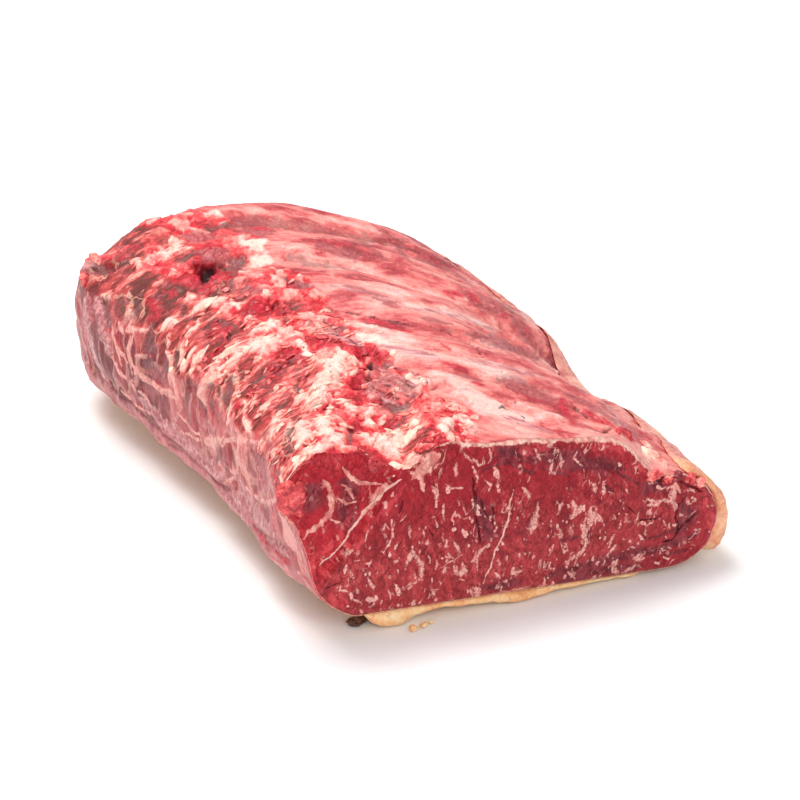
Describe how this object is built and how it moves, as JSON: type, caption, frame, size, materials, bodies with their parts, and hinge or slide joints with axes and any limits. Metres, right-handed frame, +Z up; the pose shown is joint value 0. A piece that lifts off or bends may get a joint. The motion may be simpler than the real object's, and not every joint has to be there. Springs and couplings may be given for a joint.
{
  "type": "raw beef striploin",
  "caption": "Whole raw boneless beef striploin lying on its fat cap, with a marbled cut end and a rough, pitted chine side.",
  "frame": {"origin": "middle of the bounding box at the bottom, on the surface the loin lies on", "axes": "+Y along the loin, from the cut end to the far end; +X towards the thin edge; +Z up, away from the fat cap"},
  "size_m": [0.251, 0.3574, 0.1016],
  "materials": {
    "lean": "moist raw beef, dark red with pale pink marbling, films and fat, soft wet gloss",
    "fat": "raw beef fat, creamy yellow, waxy with a soft sheen"
  },
  "bodies": {
    "root": {"lean": "lean", "fat_cap": "fat"}
  },
  "joints": []
}
